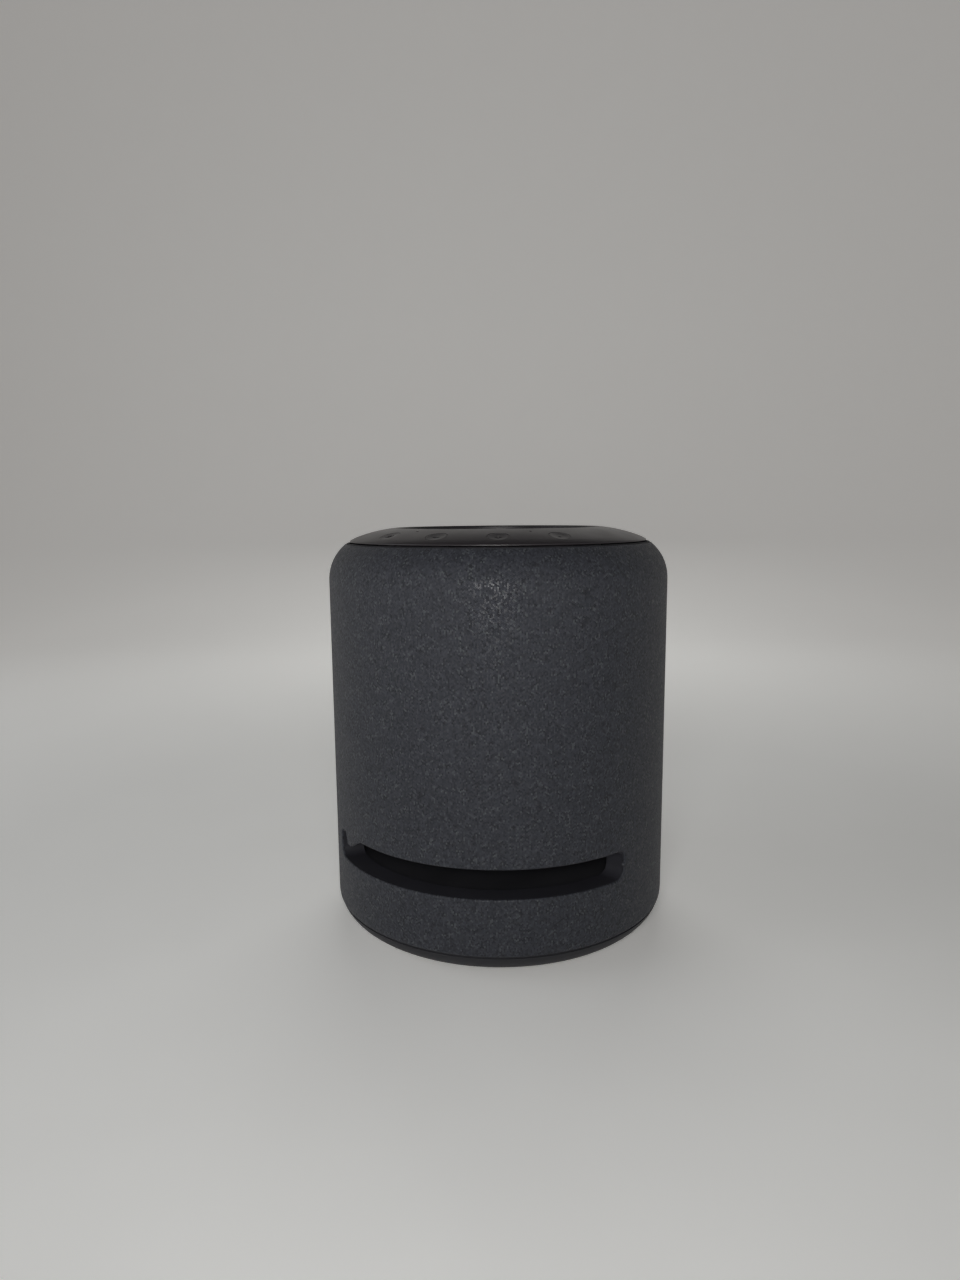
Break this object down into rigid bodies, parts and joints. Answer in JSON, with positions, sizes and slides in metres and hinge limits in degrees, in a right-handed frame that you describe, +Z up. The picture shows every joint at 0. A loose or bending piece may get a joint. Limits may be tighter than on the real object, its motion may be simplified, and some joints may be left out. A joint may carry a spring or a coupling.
{
  "type": "smart speaker",
  "caption": "Fabric-covered drum speaker with a wide bass slot near the floor, a sloped top ring with push buttons, and drivers and electronics inside.",
  "frame": {"origin": "centre of the foot ring on the surface that the speaker stands on", "axes": "+Z up along the drum's axis, front with the bass slot towards -Y, sockets towards +Y"},
  "size_m": [0.175, 0.175, 0.206],
  "materials": {
    "charcoal_fabric": "woven charcoal cloth with fine light flecks",
    "ring_plastic": "fine-textured dark grey moulding",
    "button_plastic": "satin dark grey moulding",
    "base_plastic": "satin near-black moulding",
    "black_plastic": "matt black moulding",
    "foot_rubber": "soft matt rubber",
    "light_diffuser": "smoked diffuser, unlit",
    "grille_metal": "powder-coated steel sheet",
    "surround_rubber": "moulded butyl rubber",
    "cone_paper": "pressed fibre cone",
    "dome_cloth": "coated cloth",
    "spider_cloth": "resin-dipped woven cloth",
    "gasket_foam": "closed-cell foam",
    "motor_steel": "zinc-plated steel",
    "basket_steel": "black painted pressed steel",
    "ferrite": "sintered ferrite",
    "coil_copper": "enamelled copper wire on a foil former",
    "circuit_board": "solder mask over glass-fibre board",
    "component_black": "moulded component body",
    "light_chip": "clear encapsulant",
    "microphone_can": "plated cover",
    "heat_sink_alloy": "extruded, clear anodised",
    "socket_plastic": "black socket moulding",
    "socket_metal": "nickel-plated shell",
    "screw_steel": "black zinc-plated steel",
    "lead_sheath": "flexible vinyl sheath"
  },
  "bodies": {
    "cabinet": {"audio_jack": "socket_plastic", "base_pan": "base_plastic", "base_screws": "screw_steel", "bass_deflector": "black_plastic", "button_board": "circuit_board", "driver_screws": "screw_steel", "electronics_bracket": "black_plastic", "fabric_sleeve": "charcoal_fabric", "foot_ring": "foot_rubber", "heat_sink": "heat_sink_alloy", "housing_screws": "screw_steel", "internal_leads": "lead_sheath", "key_switches": "component_black", "left_midrange_basket": "basket_steel", "left_midrange_motor": "motor_steel", "left_midrange_surround": "surround_rubber", "light_chips": "light_chip", "light_ring": "light_diffuser", "lower_housing": "black_plastic", "main_board": "circuit_board", "microphones": "microphone_can", "midrange_back_cups": "black_plastic", "port_panel": "black_plastic", "power_board": "circuit_board", "power_inlet": "socket_plastic", "right_midrange_basket": "basket_steel", "right_midrange_motor": "motor_steel", "right_midrange_surround": "surround_rubber", "service_port": "socket_metal", "slot_surround": "black_plastic", "slot_trim": "black_plastic", "top_deck": "black_plastic", "top_grille": "grille_metal", "top_midrange_basket": "basket_steel", "top_midrange_motor": "motor_steel", "top_midrange_surround": "surround_rubber", "top_ring": "ring_plastic", "tweeter_motor": "motor_steel", "tweeter_plate": "black_plastic", "upper_housing": "black_plastic", "woofer_baffle": "black_plastic", "woofer_basket": "basket_steel", "woofer_gasket": "gasket_foam", "woofer_magnet": "ferrite", "woofer_screws": "screw_steel", "woofer_spider": "spider_cloth", "woofer_surround": "surround_rubber", "woofer_top_plate": "motor_steel", "woofer_yoke": "motor_steel"},
    "mute_key": {"mute_button": "button_plastic"},
    "volume_down_key": {"volume_down_button": "button_plastic"},
    "volume_up_key": {"volume_up_button": "button_plastic"},
    "action_key": {"action_button": "button_plastic"},
    "woofer_diaphragm": {"woofer_cone": "cone_paper", "woofer_dust_cap": "cone_paper", "woofer_voice_coil": "coil_copper"},
    "left_midrange_diaphragm": {"left_midrange_cone": "cone_paper"},
    "right_midrange_diaphragm": {"right_midrange_cone": "cone_paper"},
    "top_midrange_diaphragm": {"top_midrange_cone": "cone_paper"},
    "tweeter_diaphragm": {"tweeter_dome": "dome_cloth"}
  },
  "joints": [
    {"name": "mute_press", "type": "slide", "parent": "cabinet", "child": "mute_key", "axis": [0.1272, 0.1751, -0.9763], "range_m": [0, 0.0005], "stiffness_N_per_m": 1500, "springref_m": -0.0006},
    {"name": "volume_down_press", "type": "slide", "parent": "cabinet", "child": "volume_down_key", "axis": [0.045, 0.2117, -0.9763], "range_m": [0, 0.0005], "stiffness_N_per_m": 1500, "springref_m": -0.0006},
    {"name": "volume_up_press", "type": "slide", "parent": "cabinet", "child": "volume_up_key", "axis": [-0.045, 0.2117, -0.9763], "range_m": [0, 0.0005], "stiffness_N_per_m": 1500, "springref_m": -0.0006},
    {"name": "action_press", "type": "slide", "parent": "cabinet", "child": "action_key", "axis": [-0.1272, 0.1751, -0.9763], "range_m": [0, 0.0005], "stiffness_N_per_m": 1500, "springref_m": -0.0006},
    {"name": "woofer_travel", "type": "slide", "parent": "cabinet", "child": "woofer_diaphragm", "axis": [0, 0, -1], "range_m": [-0.005, 0.005], "stiffness_N_per_m": 2000, "deforming": ["woofer_surround", "woofer_spider"]},
    {"name": "left_midrange_travel", "type": "slide", "parent": "cabinet", "child": "left_midrange_diaphragm", "axis": [-1, 0, 0], "range_m": [-0.002, 0.002], "stiffness_N_per_m": 1500, "deforming": ["left_midrange_surround"]},
    {"name": "right_midrange_travel", "type": "slide", "parent": "cabinet", "child": "right_midrange_diaphragm", "axis": [1, 0, 0], "range_m": [-0.002, 0.002], "stiffness_N_per_m": 1500, "deforming": ["right_midrange_surround"]},
    {"name": "top_midrange_travel", "type": "slide", "parent": "cabinet", "child": "top_midrange_diaphragm", "axis": [0, 0, 1], "range_m": [-0.002, 0.002], "stiffness_N_per_m": 1500, "deforming": ["top_midrange_surround"]},
    {"name": "tweeter_travel", "type": "slide", "parent": "cabinet", "child": "tweeter_diaphragm", "axis": [0, -1, 0], "range_m": [-0.0004, 0.0004], "stiffness_N_per_m": 1500}
  ]
}
